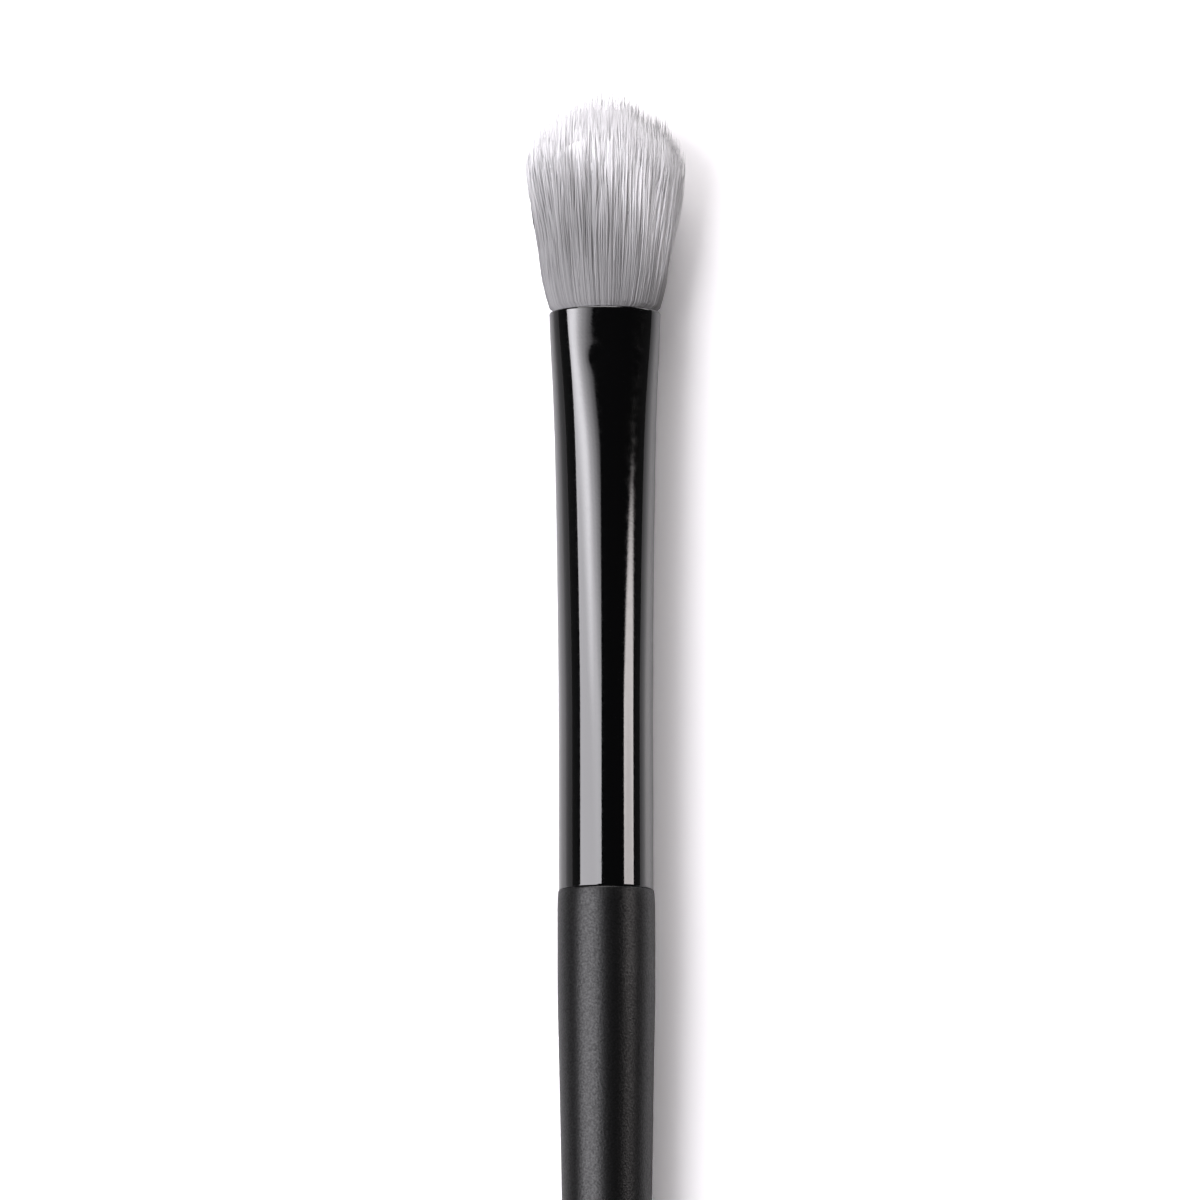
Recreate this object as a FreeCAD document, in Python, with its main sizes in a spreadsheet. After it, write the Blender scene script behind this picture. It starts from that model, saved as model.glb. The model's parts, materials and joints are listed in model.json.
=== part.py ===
import FreeCAD, Part
import math
import os
import Sketcher

# An eyeshadow brush, in millimetres: a turned wooden handle, a seamless ferrule that is round at the
# handle and oval at its mouth, and a bundle of fibres whose tied roots are set in epoxy.
#
# Every piece is made about its own Z axis, with z = 0 at the joint of handle and ferrule and the tuft
# towards +Z. Its Placement then lays it down along the frame's Y axis, with the tuft towards +Y and its
# wide side along X. The brush lies on z = 0 as it does on a table: on its tail, its belly and the underside
# of the tuft, so its axis rises a little towards the tuft. The frame's origin is under the middle of the
# brush.

SIZES = {
    # The handle. Its belly is a true cylinder that ends belly_reach behind the joint.
    "handle_length": 126.0,
    "belly_diameter": 6.0,
    "belly_reach": 5.2,
    "shoulder_diameter": 5.9,
    "shoulder_length": 0.75,
    "tail_diameter": 3.4,
    "tenon_length": 10.0,
    "tenon_chamfer": 0.4,
    "adhesive_film": 0.08,
    # The ferrule. Its flare, from oval to round, runs from the mouth to flare_clearance ahead of the tenon.
    "ferrule_length": 36.3,
    "ferrule_diameter": 5.84,
    "ferrule_wall": 0.35,
    "mouth_width": 7.0,
    "mouth_depth": 4.58,
    "flare_clearance": 0.3,
    "rim_round": 0.12,
    # The bundle of fibres. Its roots reach root_length down from the mouth.
    "tuft_length": 13.9,
    "tuft_width": 10.1,
    "tuft_depth": 7.7,
    "root_length": 11.5,
    "mouth_gap": 0.04,
    "root_film": 0.3,
    # The thread round the roots, and the epoxy round and behind them.
    "thread_band": 1.6,
    "thread_thickness": 0.2,
    "thread_setback": 0.6,
    "epoxy_setback": 2.5,
    "epoxy_plug": 3.0,
}

# The taper behind the belly: where its control points lie along it, and how much they keep of the step
# from the tail's radius to the belly's.
TAPER_PLACE_SHARES = (0, 0.02, 0.08, 0.46, 1)
TAPER_RADIUS_SHARES = (1, 1, 0.76, 0.44, 0)

# The flare: where its sections lie, from the mouth, how much of the mouth's flattening they keep, and how
# far the bundle has drawn in there, from the gap at the mouth to the film round its roots.
FLARE_PLACE_SHARES = (0, 0.058, 0.115, 0.21, 0.3, 0.45, 0.69, 0.87, 0.95, 1)
FLATTENING_SHARES = (1, 0.92, 0.77, 0.57, 0.43, 0.29, 0.125, 0.035, 0.007, 0)
DRAWN_IN_SHARES = (0, 0.2, 0.5, 0.85, 1, 1, 1, 1, 1, 1)

# The tuft: where its sections lie, from the mouth, how far it has splayed there, and how much its rounded
# end leaves of its width and depth.
TUFT_PLACE_SHARES = (0, 0.14, 0.25, 0.36, 0.48, 0.6, 0.66, 0.73, 0.8, 0.87, 0.94)
SPLAY_SHARES = (0, 0.33, 0.51, 0.66, 0.8, 0.94, 1, 1, 1, 1, 1)
ROUNDING_SHARES = (1, 1, 1, 1, 1, 1, 1, 0.94, 0.81, 0.62, 0.38)

# Two heights count as one when they differ by less than this share of the shape's size.
LEVEL_SHARE = 1e-6

FULL_TURN = 360

BORE_RADIUS = "(Sizes.ferrule_diameter / 2 - Sizes.ferrule_wall)"
TENON_RADIUS = f"({BORE_RADIUS} - Sizes.adhesive_film)"
BELLY_RADIUS = "(Sizes.belly_diameter / 2)"
TAIL_RADIUS = "(Sizes.tail_diameter / 2)"
TAPER_LENGTH = f"(Sizes.handle_length - {TAIL_RADIUS} - Sizes.belly_reach)"
FLARE_START = "(Sizes.tenon_length + Sizes.flare_clearance)"
ROOT_END = "(Sizes.ferrule_length - Sizes.root_length)"

# How much the axis rises along its length when the belly and the tail lie on the ground, and its height
# at the joint.
AXIS_RISE = f"(({BELLY_RADIUS} - {TAIL_RADIUS}) / {TAPER_LENGTH})"
JOINT_HEIGHT = f"(({BELLY_RADIUS} + Sizes.belly_reach * {AXIS_RISE}) * cos(atan({AXIS_RISE})))"

doc = FreeCAD.newDocument("eyeshadow_brush")


def fill_sheet():
    """The driving dimensions, one row each: the name and the number."""
    sheet = doc.addObject("Spreadsheet::Sheet", "Sizes")
    for row, (name, value) in enumerate(SIZES.items(), start=1):
        sheet.set(f"A{row}", name)
        sheet.set(f"B{row}", str(value))
        sheet.setAlias(f"B{row}", name)
    doc.recompute()


def bound(kind, name, **expressions):
    """A document object whose properties follow the sheet. place is its height along the axis."""
    item = doc.addObject(kind, name)
    for prop, expression in expressions.items():
        item.setExpression("Placement.Base.z" if prop == "place" else prop, expression)
    return item


def oval(name, width, depth, place):
    """An ellipse square to the axis, wide along X."""
    return bound(
        "Part::Ellipse", name, MajorRadius=f"({width}) / 2", MinorRadius=f"({depth}) / 2", place=place
    )


def loft(name, sections):
    """A smooth solid through closed sections, and up to a point if the last one is a point."""
    item = doc.addObject("Part::Loft", name)
    item.Sections = sections
    item.Solid = True
    return item


def disc(name, start, end, radius):
    """A round solid between two heights."""
    return bound("Part::Cylinder", name, Radius=radius, Height=f"{end} - ({start})", place=start)


def combine(kind, name, base, tool):
    """A boolean of two objects: Part::Cut, Part::Common or Part::Fuse."""
    item = doc.addObject(kind, name)
    item.Base = base
    item.Tool = tool
    return item


def stretch(name, form, start, end):
    """The part of a form that lies between two heights, kept by a slab wider than the ferrule."""
    return combine("Part::Common", name, form, disc(f"{name}_slab", start, end, "Sizes.mouth_width"))


def lay_down(piece, name):
    """Name a finished piece and lay it down along +Y, on the ground."""
    piece.Label = name
    joint = "(Sizes.handle_length - Sizes.ferrule_length - Sizes.tuft_length) / 2"
    turn = f"rotation(vector(1; 0; 0); atan({AXIS_RISE}) - 90 deg)"
    piece.setExpression("Placement", f"placement(vector(0; {joint}; {JOINT_HEIGHT}); {turn})")
    return piece


def flare_form(name, inset, drawn_in_shares=None):
    """The flare as a solid, from the mouth to where the tube is round, inset from the ferrule's outside.

    With drawn_in_shares the inset grows from the mouth as the bundle does.
    """
    sections = []
    for count, (place, flattening) in enumerate(zip(FLARE_PLACE_SHARES, FLATTENING_SHARES)):
        here = inset
        if drawn_in_shares:
            here = f"{inset} + {drawn_in_shares[count]} * (Sizes.root_film - Sizes.mouth_gap)"
        width = f"Sizes.ferrule_diameter + {flattening} * (Sizes.mouth_width - Sizes.ferrule_diameter)"
        depth = f"Sizes.ferrule_diameter - {flattening} * (Sizes.ferrule_diameter - Sizes.mouth_depth)"
        height = f"Sizes.ferrule_length - {place} * (Sizes.ferrule_length - {FLARE_START})"
        sections.append(
            oval(f"{name}_section_{count}", f"{width} - 2 * ({here})", f"{depth} - 2 * ({here})", height)
        )
    return loft(name, sections)


def tube_form(name, inset):
    """The whole ferrule as a solid, inset from its outside: the flare and the round stretch behind it."""
    flare = flare_form(f"{name}_flare", inset)
    back = disc(f"{name}_back", "0", FLARE_START, f"Sizes.ferrule_diameter / 2 - {inset}")
    return combine("Part::Fuse", name, flare, back)


def level_edges(shape, height):
    """The names of the edges that lie whole at one height."""
    near = LEVEL_SHARE * shape.BoundBox.DiagonalLength
    return [
        f"Edge{number}"
        for number, edge in enumerate(shape.Edges, start=1)
        if abs(edge.BoundBox.ZMin - height) < near and abs(edge.BoundBox.ZMax - height) < near
    ]


def make_ferrule(bore):
    """The drawn tube, with its rims rounded."""
    tube = combine("Part::Cut", "ferrule_tube", tube_form("ferrule_outside", "0"), bore)
    body = doc.addObject("PartDesign::Body", "ferrule_body")
    body.BaseFeature = tube
    doc.recompute()
    ends = tube.Shape.BoundBox
    rims = body.newObject("PartDesign::Fillet", "ferrule_rims")
    rims.Base = (body.Group[0], level_edges(tube.Shape, ends.ZMax) + level_edges(tube.Shape, ends.ZMin))
    rims.setExpression("Radius", "Sizes.rim_round")
    body.Tip = rims
    return lay_down(body, "ferrule")


def make_roots():
    """The bundle below the mouth, which narrows towards its root ends."""
    bundle = flare_form("bundle", "Sizes.ferrule_wall + Sizes.mouth_gap", DRAWN_IN_SHARES)
    return stretch("roots", bundle, ROOT_END, "Sizes.ferrule_length")


def ground():
    """What the ground keeps free of the tuft: a slab under z = 0, wider and longer than the tuft."""
    item = bound(
        "Part::Box",
        "ground",
        Length="2 * Sizes.tuft_width",
        Width="Sizes.handle_length",
        Height="Sizes.tuft_depth",
        place="-Sizes.tuft_depth",
    )
    item.setExpression("Placement.Base.x", "-Sizes.tuft_width")
    return item


def make_tuft(roots):
    """The whole bundle: its roots, and the tuft that splays from the mouth and closes to a rounded tip.

    The tuft is soft, so its underside is pressed flat where it lies on the ground.
    """
    inset = "2 * (Sizes.ferrule_wall + Sizes.mouth_gap)"
    across = (f"(Sizes.mouth_width - {inset})", "Sizes.tuft_width")
    through = (f"(Sizes.mouth_depth - {inset})", "Sizes.tuft_depth")
    sections = []
    shares = zip(TUFT_PLACE_SHARES, SPLAY_SHARES, ROUNDING_SHARES)
    for count, (place, splay, rounding) in enumerate(shares):
        width, depth = (
            f"{rounding} * ({start} + {splay} * ({widest} - {start}))" for start, widest in (across, through)
        )
        height = f"Sizes.ferrule_length + {place} * Sizes.tuft_length"
        sections.append(oval(f"tuft_section_{count}", width, depth, height))
    sections.append(bound("Part::Vertex", "tuft_tip", place="Sizes.ferrule_length + Sizes.tuft_length"))
    loose = combine("Part::Fuse", "loose_tuft", loft("tuft_form", sections), roots)
    pressed = combine("Part::Cut", "pressed_tuft", lay_down(loose, "tuft_before_pressing"), ground())
    pressed.Label = "bristle_tuft"
    return pressed


def thread_cover():
    """The roots and the thread round them, over the thread's length."""
    cover = flare_form("thread_cover", "Sizes.ferrule_wall + Sizes.root_film - Sizes.thread_thickness")
    start = f"{ROOT_END} + Sizes.thread_setback"
    return stretch("tied_stretch", cover, start, f"{start} + Sizes.thread_band")


def make_thread(roots, tied):
    """The band of thread that ties the roots, bedded on the bundle."""
    return lay_down(combine("Part::Cut", "thread_ring", tied, roots), "knot_thread")


def make_epoxy(bore, roots, tied):
    """The epoxy that fills the bore round the roots and the thread, and plugs it behind them."""
    start = f"{ROOT_END} - Sizes.epoxy_plug"
    poured = stretch("poured_epoxy", bore, start, "Sizes.ferrule_length - Sizes.epoxy_setback")
    bundle = combine("Part::Fuse", "tied_roots", roots, tied)
    return lay_down(combine("Part::Cut", "cured_epoxy", poured, bundle), "root_epoxy")


def make_adhesive(bore):
    """The film between the tenon and the bore."""
    filled = stretch("filled_bore", bore, "0", "Sizes.tenon_length - Sizes.tenon_chamfer")
    tenon = disc("tenon_core", "0", "Sizes.tenon_length", TENON_RADIUS)
    return lay_down(combine("Part::Cut", "film_round_tenon", filled, tenon), "tenon_adhesive")


def place_of(sketch, across, up):
    """The point that two expressions give."""
    return FreeCAD.Vector(float(sketch.evalExpression(across)), float(sketch.evalExpression(up)), 0)


def hold(sketch, curve, end, across, up):
    """Hold a point of a sketch at two expressions, measured from the sketch's origin."""
    point = place_of(sketch, across, up)
    sides = (("DistanceX", -2, point.x, across), ("DistanceY", -1, point.y, up))
    for kind, axis, value, expression in sides:
        if value == 0:
            sketch.addConstraint(Sketcher.Constraint("PointOnObject", curve, end, axis))
            continue
        ends = (-1, 1, curve, end) if value > 0 else (curve, end, -1, 1)
        number = sketch.addConstraint(Sketcher.Constraint(kind, *ends, abs(value)))
        sketch.setExpression(f"Constraints[{number}]", f"{int(math.copysign(1, value))} * ({expression})")


def end_at(sketch, curve, point):
    """Which end of a curve lies at a point: 1 for its start, 2 for its end."""
    return min((1, 2), key=lambda end: sketch.getPoint(curve, end).distanceToPoint(point))


def upright_arc(sketch, upright, other):
    """An arc between two points that runs parallel to the axis at the first one."""
    step = upright.x - other.x
    rise = other.y - upright.y
    radius = (step**2 + rise**2) / (2 * step)
    centre = FreeCAD.Vector(upright.x - radius, upright.y, 0)
    half = math.atan2(rise, other.x - centre.x) / 2
    middle = centre + radius * FreeCAD.Vector(math.cos(half), math.sin(half), 0)
    curve = sketch.addGeometry(Part.Arc(upright, middle, other))
    sketch.addConstraint(Sketcher.Constraint("Horizontal", curve, 3, curve, end_at(sketch, curve, upright)))
    return curve


def held_spline(sketch, poles):
    """A cubic spline whose control points are held at pairs of expressions."""
    points = [place_of(sketch, *pole) for pole in poles]
    curve = sketch.addGeometry(Part.BSplineCurve(points, None, None, False, 3, None, False))
    weights = [sketch.addGeometry(Part.Circle(point, FreeCAD.Vector(0, 0, 1), 1), True) for point in points]
    sketch.addConstraint(Sketcher.Constraint("Weight", weights[0], 1))
    for count, weight in enumerate(weights):
        if count:
            sketch.addConstraint(Sketcher.Constraint("Equal", weights[0], weight))
        sketch.addConstraint(
            Sketcher.Constraint("InternalAlignment:Sketcher::BSplineControlPoint", weight, 3, curve, count)
        )
        if 0 < count < len(weights) - 1:
            hold(sketch, weight, 3, *poles[count])
    return curve


def handle_profile(body):
    """Half of the handle's section, with the tenon above the joint and the tail at the bottom."""
    sketch = body.newObject("Sketcher::SketchObject", "handle_profile")
    plane = next(item for item in body.Origin.OriginFeatures if item.Role == "XZ_Plane")
    sketch.AttachmentSupport = [(plane, "")]
    sketch.MapMode = "FlatFace"

    taper = [
        (
            f"{TAIL_RADIUS} + {radius} * ({BELLY_RADIUS} - {TAIL_RADIUS})",
            f"-Sizes.belly_reach - {place} * {TAPER_LENGTH}",
        )
        for place, radius in zip(TAPER_PLACE_SHARES, TAPER_RADIUS_SHARES)
    ]
    corners = [
        ("0", "Sizes.tenon_length"),
        (f"{TENON_RADIUS} - Sizes.tenon_chamfer", "Sizes.tenon_length"),
        (TENON_RADIUS, "Sizes.tenon_length - Sizes.tenon_chamfer"),
        (TENON_RADIUS, "0"),
        ("Sizes.shoulder_diameter / 2", "0"),
        (BELLY_RADIUS, "-Sizes.shoulder_length"),
        taper[0],
        taper[-1],
        ("0", "-Sizes.handle_length"),
    ]
    points = [place_of(sketch, *corner) for corner in corners]
    shoulder, belly_end, tail_start = 4, 6, 7

    curves = []
    for count, point in enumerate(points):
        following = points[(count + 1) % len(points)]
        if count == shoulder:
            curves.append(upright_arc(sketch, following, point))
        elif count == belly_end:
            curves.append(held_spline(sketch, taper))
        elif count == tail_start:
            curves.append(upright_arc(sketch, point, following))
        else:
            curves.append(sketch.addGeometry(Part.LineSegment(point, following)))

    for count, (curve, corner, point) in enumerate(zip(curves, corners, points)):
        before = curves[count - 1]
        end_before = end_at(sketch, before, point)
        end = end_at(sketch, curve, point)
        sketch.addConstraint(Sketcher.Constraint("Coincident", before, end_before, curve, end))
        hold(sketch, curve, end, *corner)
    return sketch


def make_handle():
    """The turned handle: tenon, shoulder, belly, taper and rounded tail in one revolution."""
    body = doc.addObject("PartDesign::Body", "handle_body")
    profile = handle_profile(body)
    turned = body.newObject("PartDesign::Revolution", "turned_handle")
    turned.Profile = profile
    turned.ReferenceAxis = (profile, ["V_Axis"])
    turned.Angle = FULL_TURN
    body.Tip = turned
    return lay_down(body, "handle")


def write_parts(pieces):
    """Check the whole document, then write each piece to its own file."""
    doc.recompute()
    for item in doc.Objects:
        if "Invalid" in item.State or "Error" in item.State:
            raise RuntimeError(f"{item.Label} failed: {item.State}")
    for piece in pieces:
        if piece.Shape.isNull() or not piece.Shape.isValid():
            raise RuntimeError(f"{piece.Label} has no valid shape")
    os.makedirs("parts", exist_ok=True)
    for piece in pieces:
        piece.Shape.exportStep(f"parts/{piece.Label}.step")
        print(piece.Label, "solids:", len(piece.Shape.Solids), "volume:", round(piece.Shape.Volume, 2))


fill_sheet()
bore = tube_form("bore", "Sizes.ferrule_wall")
roots = make_roots()
tied = thread_cover()
write_parts(
    [
        make_handle(),
        make_ferrule(bore),
        make_tuft(roots),
        make_thread(roots, tied),
        make_epoxy(bore, roots, tied),
        make_adhesive(bore),
    ]
)
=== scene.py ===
import json
import math

import bpy
import numpy as np
from mathutils import Matrix, Vector


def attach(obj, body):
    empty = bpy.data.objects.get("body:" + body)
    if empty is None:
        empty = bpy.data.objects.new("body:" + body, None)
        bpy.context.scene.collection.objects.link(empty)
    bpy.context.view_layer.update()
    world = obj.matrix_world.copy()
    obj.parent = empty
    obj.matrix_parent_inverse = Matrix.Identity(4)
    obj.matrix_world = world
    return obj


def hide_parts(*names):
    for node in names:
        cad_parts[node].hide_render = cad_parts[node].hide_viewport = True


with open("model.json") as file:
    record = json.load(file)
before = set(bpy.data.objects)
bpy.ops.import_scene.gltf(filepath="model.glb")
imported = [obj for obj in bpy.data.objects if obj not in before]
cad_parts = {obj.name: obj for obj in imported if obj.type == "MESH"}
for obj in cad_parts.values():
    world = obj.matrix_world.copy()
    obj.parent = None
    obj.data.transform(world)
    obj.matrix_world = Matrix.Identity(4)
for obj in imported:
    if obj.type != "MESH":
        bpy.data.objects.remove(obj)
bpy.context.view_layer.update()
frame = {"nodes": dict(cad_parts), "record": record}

# An eyeshadow brush that lies on a white surface under four softboxes. The handle and the ferrule get even
# skins over the frame's forms, so that their sheen and gloss run true. The tuft is thousands of separate
# tapered fibres round a packed middle. The pieces inside keep the frame's shapes and get their finishes here.
# All sizes are in metres. MM turns a size in millimetres into metres.

MM = 0.001

# The brush's own directions, from the frame: along the axis to the tuft, across its wide side, and up.
collar = next(mount for mount in frame["record"]["mounts"] if mount["name"] == "holder_collar")
AXIS_POINT = Vector(collar["pos_m"])
ALONG = -Vector(collar["axis"]).normalized()
ACROSS = Vector((1, 0, 0))
UP = ACROSS.cross(ALONG)

# How close to a place along the axis a point belongs to the section there.
SECTION_REACH = 0.25 * MM


def measured(node_name):
    """A CAD node's points as distances along the axis from the collar, across it and up from it."""
    vertices = frame["nodes"][node_name].data.vertices
    points = np.array([vertex.co for vertex in vertices]) - np.array(AXIS_POINT)
    return points @ np.array((ALONG, ACROSS, UP)).T


def place(along, across=0.0):
    """The point at these distances from the collar, in the frame."""
    return AXIS_POINT + along * ALONG + across * ACROSS


def points_at(middle, along, across, up):
    """Points at these distances from a middle, in the brush's own directions. The distances are arrays."""
    directed = zip((along, across, up), (ALONG, ACROSS, UP))
    return sum((distance[..., None] * np.array(way) for distance, way in directed), start=np.array(middle))


def half_section(points, along):
    """Half the width and half the depth of a piece close to one place along the axis."""
    near = points[np.abs(points[:, 0] - along) < SECTION_REACH]
    return np.abs(near[:, 1:]).max(axis=0)


def round_turn(sides):
    """This many even steps of one full turn."""
    return np.arange(sides) * 2 * math.pi / sides


handle_points = measured("handle")
ferrule_points = measured("ferrule")
tuft_points = measured("bristle_tuft")

JOINT = float(ferrule_points[:, 0].min())
MOUTH = float(ferrule_points[:, 0].max())
TUFT_LENGTH = float(tuft_points[:, 0].max()) - MOUTH
ROOT_LENGTH = MOUTH - float(tuft_points[:, 0].min())


# Materials


def new_material(name, **constants):
    """A material with one shader, whose constants are set on its own sockets."""
    material = bpy.data.materials.new(name)
    material.use_nodes = True
    tree = material.node_tree
    shader = tree.nodes["Principled BSDF"]
    for socket, value in constants.items():
        shader.inputs[socket.replace("_", " ")].default_value = value
    return material, tree, shader


def node(tree, kind, links=(), **settings):
    """Add a node. Settings name its properties or input sockets, and links are (socket, source) pairs."""
    made = tree.nodes.new(kind)
    for name, value in settings.items():
        if hasattr(made, name):
            setattr(made, name, value)
        else:
            made.inputs[name.replace("_", " ")].default_value = value
    for socket, source in links:
        tree.links.new(source, made.inputs[socket])
    return made


def maths(tree, operation, *values):
    """The result of a Math node over values, each a number or a socket."""
    made = node(tree, "ShaderNodeMath", operation=operation)
    for socket, value in zip(made.inputs, values):
        if isinstance(value, bpy.types.NodeSocket):
            tree.links.new(value, socket)
        else:
            socket.default_value = value
    return made.outputs[0]


def own_place(tree):
    """The object's own coordinates."""
    return node(tree, "ShaderNodeTexCoord").outputs["Object"]


def stretched_place(tree, scale):
    """The object's own coordinates, scaled by axis."""
    return node(tree, "ShaderNodeMapping", [("Vector", own_place(tree))], Scale=scale).outputs["Vector"]


def noise(tree, grains, detail=2.0, stretch=(1, 1, 1)):
    """A noise value with this many grains per metre, stretched by axis."""
    where = stretched_place(tree, [grains * share for share in stretch])
    return node(tree, "ShaderNodeTexNoise", [("Vector", where)], Scale=1.0, Detail=detail).outputs["Fac"]


def ranged(tree, value, low, high, start=0.0, end=1.0, smooth_ends=False):
    """A value mapped from 0 to 1, or from start to end, onto low to high."""
    made = node(
        tree,
        "ShaderNodeMapRange",
        [("Value", value)],
        interpolation_type="SMOOTHSTEP" if smooth_ends else "LINEAR",
        From_Min=start,
        From_Max=end,
        To_Min=low,
        To_Max=high,
    )
    return made.outputs["Result"]


def ramp(tree, value, places, strengths):
    """A smooth curve through strengths at places from 0 to 1."""
    made = node(tree, "ShaderNodeValToRGB", [(0, value)])
    made.color_ramp.interpolation = "EASE"
    stops = made.color_ramp.elements
    while len(stops) < len(places):
        stops.new(0.5)
    for stop, at, strength in zip(stops, places, strengths):
        stop.position = at
        stop.color = (strength, strength, strength, 1)
    return made.outputs["Color"]


def mixed_colour(tree, factor, first, second):
    """Two colours mixed by a value. Each is a colour or a socket."""
    made = node(tree, "ShaderNodeMix", data_type="RGBA")
    tree.links.new(factor, made.inputs["Factor"])
    for name, colour in (("A", first), ("B", second)):
        target = next(socket for socket in made.inputs if socket.name == name and socket.type == "RGBA")
        if isinstance(colour, bpy.types.NodeSocket):
            tree.links.new(colour, target)
        else:
            target.default_value = (*colour, 1)
    return next(socket for socket in made.outputs if socket.type == "RGBA")


def mixed_shader(tree, factor, first, second):
    """Two shaders mixed by a value."""
    links = [(0, factor), (1, first.outputs[0]), (2, second.outputs[0])]
    return node(tree, "ShaderNodeMixShader", links)


def bumped(tree, height, distance, under=None):
    """A normal from a height value. distance is the height's real size in metres."""
    made = node(tree, "ShaderNodeBump", [("Height", height)], Distance=distance)
    if under:
        tree.links.new(under, made.inputs["Normal"])
    return made.outputs["Normal"]


def gloss_black_enamel():
    """Deep gloss enamel on drawn metal: slow waves, a fine orange peel and a trace of dust."""
    material, tree, shader = new_material(
        "gloss_black_enamel", IOR=1.58, Coat_Weight=1.0, Coat_IOR=1.5, Coat_Roughness=0.04
    )
    black = (0.0012, 0.0012, 0.0014)
    dusty = (0.007, 0.007, 0.008)
    dust = ranged(tree, noise(tree, grains=9000, detail=3), low=0, high=1, start=0.68, end=0.8)
    tree.links.new(mixed_colour(tree, dust, black, dusty), shader.inputs["Base Color"])
    gloss = ranged(tree, noise(tree, grains=2500), low=0.04, high=0.11, start=0.3, end=0.7)
    tree.links.new(gloss, shader.inputs["Roughness"])
    waves = bumped(tree, noise(tree, grains=200, detail=0, stretch=(1, 0.5, 1)), distance=0.008 * MM)
    skin = bumped(tree, noise(tree, grains=7000, detail=1), distance=0.0006 * MM, under=waves)
    for socket in ("Normal", "Coat Normal"):
        tree.links.new(skin, shader.inputs[socket])
    return material


def satin_black_lacquer():
    """Satin lacquer on turned wood: a fine speckle in its colour and sheen, over slow, faint waves.
    """
    material, tree, shader = new_material("satin_black_lacquer", IOR=1.52)
    black = (0.0003, 0.0003, 0.0004)
    speck = (0.0025, 0.0025, 0.0028)
    speckle = noise(tree, grains=7500)
    specks = ranged(tree, speckle, low=0, high=1, start=0.35, end=0.7)
    tree.links.new(mixed_colour(tree, specks, black, speck), shader.inputs["Base Color"])
    for socket, low, high in (("Roughness", 0.38, 0.32), ("Specular IOR Level", 0.36, 0.58)):
        tree.links.new(ranged(tree, speckle, low, high, start=0.32, end=0.68), shader.inputs[socket])
    waves = bumped(tree, noise(tree, grains=700, stretch=(1, 0.3, 1)), distance=0.004 * MM)
    tree.links.new(bumped(tree, speckle, distance=0.012 * MM, under=waves), shader.inputs["Normal"])
    return material


def bristle_fibre():
    """Dyed fibre: grey with a white tip. Attributes hold its tone and how far below the dye's edge it is."""
    material, tree, shader = new_material("bristle_fibre", Roughness=0.6, Specular_IOR_Level=0.2)
    greys = ((0.272, 0.27, 0.275), (0.37, 0.367, 0.373))
    whites = ((0.93, 0.926, 0.94), (0.965, 0.96, 0.975))
    below_dye_edge = node(tree, "ShaderNodeAttribute", attribute_name="below_dye_edge").outputs["Fac"]
    tone = node(tree, "ShaderNodeAttribute", attribute_name="tone").outputs["Fac"]
    depth = ranged(tree, below_dye_edge, low=0, high=1, start=-0.9 * MM, end=5.4 * MM)
    dyed = ramp(tree, depth, places=(0, 0.3, 0.65, 1), strengths=(0, 0.62, 0.9, 1))
    white = mixed_colour(tree, tone, *whites)
    grey = mixed_colour(tree, tone, *greys)
    tree.links.new(mixed_colour(tree, dyed, white, grey), shader.inputs["Base Color"])
    return material


def binding_thread():
    """Undyed thread, wound round the roots."""
    material, tree, shader = new_material("binding_thread", Roughness=0.85)
    along = stretched_place(tree, (0, 1 / MM, 0))
    turns = node(
        tree, "ShaderNodeTexWave", [("Vector", along)], wave_type="BANDS", bands_direction="Y", Scale=0.8
    )
    twist = noise(tree, grains=9000, stretch=(1, 3, 1))
    undyed = mixed_colour(tree, twist, (0.62, 0.58, 0.5), (0.8, 0.77, 0.7))
    tree.links.new(undyed, shader.inputs["Base Color"])
    tree.links.new(bumped(tree, turns.outputs["Fac"], distance=0.05 * MM), shader.inputs["Normal"])
    return material


def cured_epoxy():
    """Amber epoxy with a faint cloud."""
    material, tree, shader = new_material("cured_epoxy")
    cloud = noise(tree, grains=900, detail=3)
    amber = mixed_colour(tree, cloud, (0.5, 0.36, 0.16), (0.68, 0.56, 0.34))
    tree.links.new(amber, shader.inputs["Base Color"])
    tree.links.new(ranged(tree, cloud, low=0.12, high=0.25), shader.inputs["Roughness"])
    return material


def wood_adhesive():
    """Dried adhesive, matte and a little uneven."""
    material, tree, shader = new_material("wood_adhesive", Roughness=0.7)
    patches = noise(tree, grains=1500, detail=3)
    dried = mixed_colour(tree, patches, (0.68, 0.6, 0.46), (0.82, 0.77, 0.66))
    tree.links.new(dried, shader.inputs["Base Color"])
    tree.links.new(bumped(tree, patches, distance=0.02 * MM), shader.inputs["Normal"])
    return material


# The pieces inside keep their shapes and get these finishes.
FINISHES = {
    "knot_thread": binding_thread,
    "root_epoxy": cured_epoxy,
    "tenon_adhesive": wood_adhesive,
}
for node_name, finish in FINISHES.items():
    frame["nodes"][node_name].material_slots[0].material = finish()


# Making pieces


def add_piece(mesh, material, node_name):
    """Show a mesh as a piece that stands for one of the frame's nodes."""
    mesh.materials.append(material)
    piece = bpy.data.objects.new(mesh.name, mesh)
    bpy.context.scene.collection.objects.link(piece)
    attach(piece, "root")
    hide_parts(node_name)


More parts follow.
